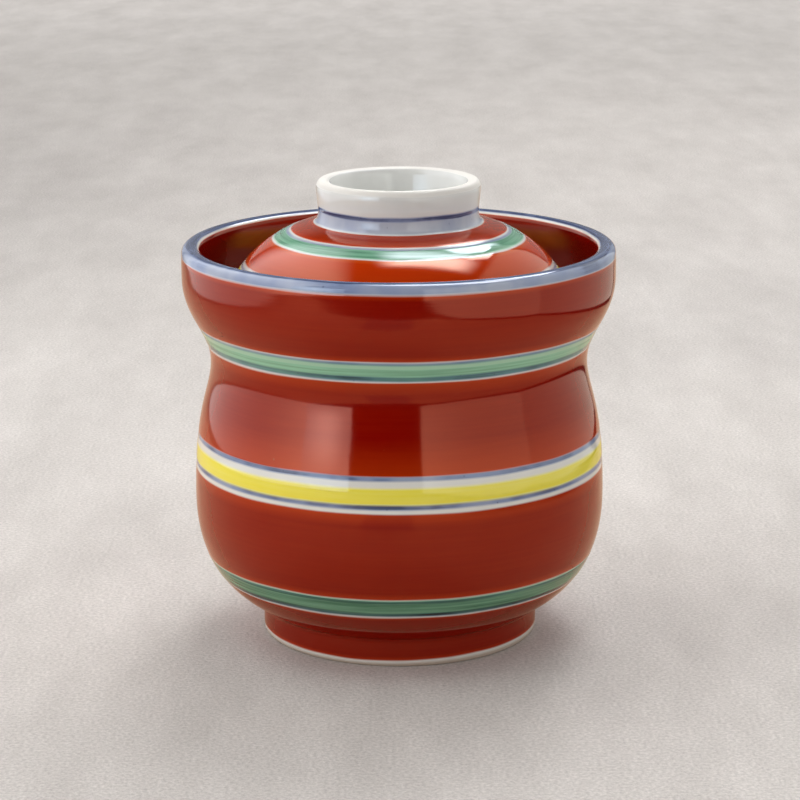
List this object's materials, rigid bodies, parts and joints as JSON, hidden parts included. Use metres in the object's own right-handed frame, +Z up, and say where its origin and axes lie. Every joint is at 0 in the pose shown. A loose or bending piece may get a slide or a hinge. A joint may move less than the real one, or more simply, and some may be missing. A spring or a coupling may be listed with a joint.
{
  "type": "lidded steaming cup",
  "caption": "Waisted porcelain steaming cup on a turned foot ring, banded in red, green and yellow enamel, with a domed ring-knob lid that drops into its flared mouth.",
  "frame": {"origin": "centre of the foot ring on the surface that the cup stands on", "axes": "+Z up along the axis that both pieces are turned about; +X to the right and +Y away from the viewer of the picture"},
  "size_m": [0.083, 0.083, 0.0887],
  "materials": {
    "cup_enamel": "glossy red overglaze enamel over white porcelain, with painted green, yellow, blue and white bands",
    "lid_enamel": "glossy red overglaze enamel with a green band, and a white glazed ring knob with a bare crest"
  },
  "bodies": {
    "cup": {"cup": "cup_enamel"},
    "lid": {"lid": "lid_enamel"}
  },
  "joints": [
    {"name": "lid_lift", "type": "slide", "parent": "cup", "child": "lid", "axis": [0, 0, 1], "range_m": [0, 0.06]}
  ]
}
